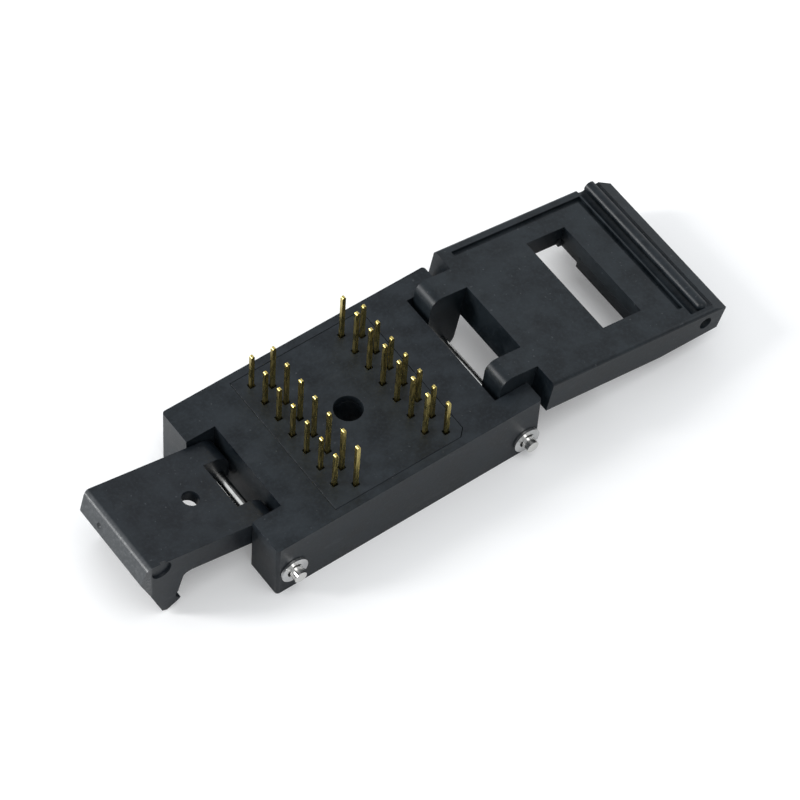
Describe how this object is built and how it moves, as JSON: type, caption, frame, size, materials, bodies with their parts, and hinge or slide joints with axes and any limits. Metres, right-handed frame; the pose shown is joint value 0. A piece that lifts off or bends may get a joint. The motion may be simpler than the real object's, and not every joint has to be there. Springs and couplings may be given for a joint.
{
  "type": "clamshell zif test socket",
  "caption": "Open-top clamshell test socket for a gull-wing chip package: moulded housing, gold spring contacts with solder tails, hinged cover with window, and hinged latch.",
  "frame": {"origin": "centre of the centre hole in the board face (the face with the solder tails)", "axes": "+Z out of the board face along the solder tails, +X from the latch hinge to the cover hinge, +Y along the contact rows"},
  "size_m": [0.0739, 0.0244, 0.015],
  "materials": {
    "housing_plastic": "satin, glass-filled",
    "cover_plastic": "satin, glass-filled",
    "contact_gold": "gold plated",
    "pin_steel": "ground",
    "ring_steel": "bright"
  },
  "bodies": {
    "housing": {"base_housing": "housing_plastic", "contact_retainer": "housing_plastic", "latch_pin": "pin_steel", "cover_pin": "pin_steel", "latch_ring_near": "ring_steel", "latch_ring_far": "ring_steel", "cover_ring_near": "ring_steel", "cover_ring_far": "ring_steel", "contact_latch_1": "contact_gold", "contact_latch_2": "contact_gold", "contact_latch_3": "contact_gold", "contact_latch_4": "contact_gold", "contact_latch_5": "contact_gold", "contact_latch_6": "contact_gold", "contact_latch_7": "contact_gold", "contact_latch_8": "contact_gold", "contact_latch_9": "contact_gold", "contact_latch_10": "contact_gold", "contact_latch_11": "contact_gold", "contact_latch_12": "contact_gold", "contact_latch_13": "contact_gold", "contact_latch_14": "contact_gold", "contact_cover_1": "contact_gold", "contact_cover_2": "contact_gold", "contact_cover_3": "contact_gold", "contact_cover_4": "contact_gold", "contact_cover_5": "contact_gold", "contact_cover_6": "contact_gold", "contact_cover_7": "contact_gold", "contact_cover_8": "contact_gold", "contact_cover_9": "contact_gold", "contact_cover_10": "contact_gold", "contact_cover_11": "contact_gold", "contact_cover_12": "contact_gold", "contact_cover_13": "contact_gold", "contact_cover_14": "contact_gold"},
    "cover": {"cover": "cover_plastic", "pressure_pad": "cover_plastic", "strike_pin": "pin_steel"},
    "latch": {"latch": "cover_plastic"}
  },
  "joints": [
    {"name": "cover_hinge", "type": "hinge", "parent": "housing", "child": "cover", "pos_m": [0.01597, 0, -0.00582], "axis": [0, 1, 0], "range_deg": [0, 170.31]},
    {"name": "latch_hinge", "type": "hinge", "parent": "housing", "child": "latch", "pos_m": [-0.0146, 0, -0.00471], "axis": [0, -1, 0], "range_deg": [0, 120.73]}
  ]
}
